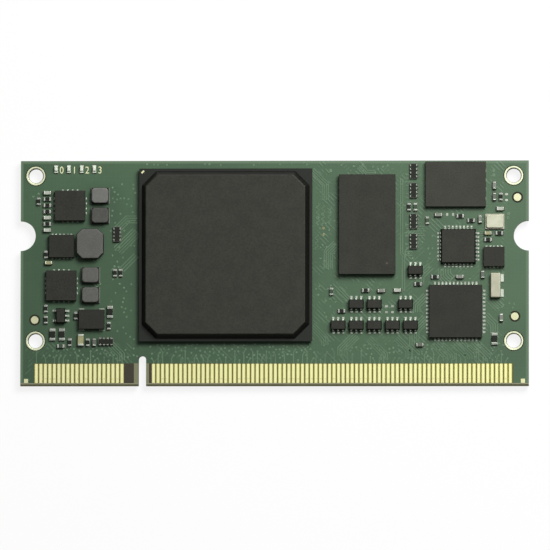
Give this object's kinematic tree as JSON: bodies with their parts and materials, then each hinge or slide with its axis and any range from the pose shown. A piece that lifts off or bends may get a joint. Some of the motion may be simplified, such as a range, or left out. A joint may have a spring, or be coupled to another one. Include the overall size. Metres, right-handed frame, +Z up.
{
  "type": "system on module",
  "caption": "Credit-card-thin plug-in computing board: a green edge-contact card with a large moulded ball-grid chip, memory, flash, interface chips, regulators, crystals and chip parts.",
  "frame": {"origin": "centre of the board's outline, on the lowest face of the underside capacitors", "axes": "+X along the contact edge, +Y away from the contacts, +Z up from the component side"},
  "size_m": [0.0676, 0.03, 0.0037],
  "materials": {
    "solder_mask": "satin",
    "gold": "satin",
    "solder": "satin",
    "substrate": "satin",
    "mould": "matte",
    "tin": "satin",
    "ferrite": "matte",
    "copper_wire": "satin",
    "crystal_ceramic": "matte",
    "lid_metal": "satin",
    "fork_case": "matte",
    "lamp_base": "matte",
    "lamp_lens": "gloss",
    "alumina": "matte",
    "resistor_coat": "satin",
    "capacitor_ceramic": "matte"
  },
  "bodies": {
    "root": {"circuit_board": "solder_mask", "hole_plating": "gold", "front_contacts": "gold", "back_contacts": "gold", "corner_pads": "gold", "fiducials": "gold", "component_lands": "solder", "solder_joints": "solder", "fpga_substrate": "substrate", "fpga_mould_cap": "mould", "fpga_solder_balls": "solder", "fpga_corner_mark": "gold", "memory_substrate": "substrate", "memory_mould": "mould", "memory_solder_balls": "solder", "flash_body": "mould", "flash_leads": "tin", "network_chip_body": "mould", "network_chip_leads": "tin", "usb_chip_body": "mould", "usb_chip_leads": "tin", "clock_chip_body": "mould", "clock_chip_leads": "tin", "regulator_bodies": "mould", "regulator_leads": "tin", "small_regulator_body": "mould", "small_regulator_leads": "tin", "oscillator_body": "mould", "oscillator_pads": "tin", "logic_gate_bodies": "mould", "logic_gate_leads": "tin", "supervisor_body": "mould", "supervisor_leads": "tin", "small_inductor_cores": "ferrite", "small_inductor_coils": "copper_wire", "small_inductor_terminals": "tin", "large_inductor_core": "ferrite", "large_inductor_coil": "copper_wire", "large_inductor_terminals": "tin", "crystal_base": "crystal_ceramic", "crystal_lid": "lid_metal", "crystal_pads": "tin", "fork_crystal_case": "fork_case", "fork_crystal_tabs": "tin", "lamp_bases": "lamp_base", "lamp_lenses": "lamp_lens", "lamp_terminals": "tin", "resistor_bodies": "alumina", "resistor_coats": "resistor_coat", "resistor_ends": "tin", "capacitor_bodies": "capacitor_ceramic", "capacitor_ends": "tin", "array_bodies": "alumina", "array_coats": "resistor_coat", "array_ends": "tin", "bypass_bodies": "capacitor_ceramic", "bypass_ends": "tin", "bypass_joints": "solder"}
  },
  "joints": []
}
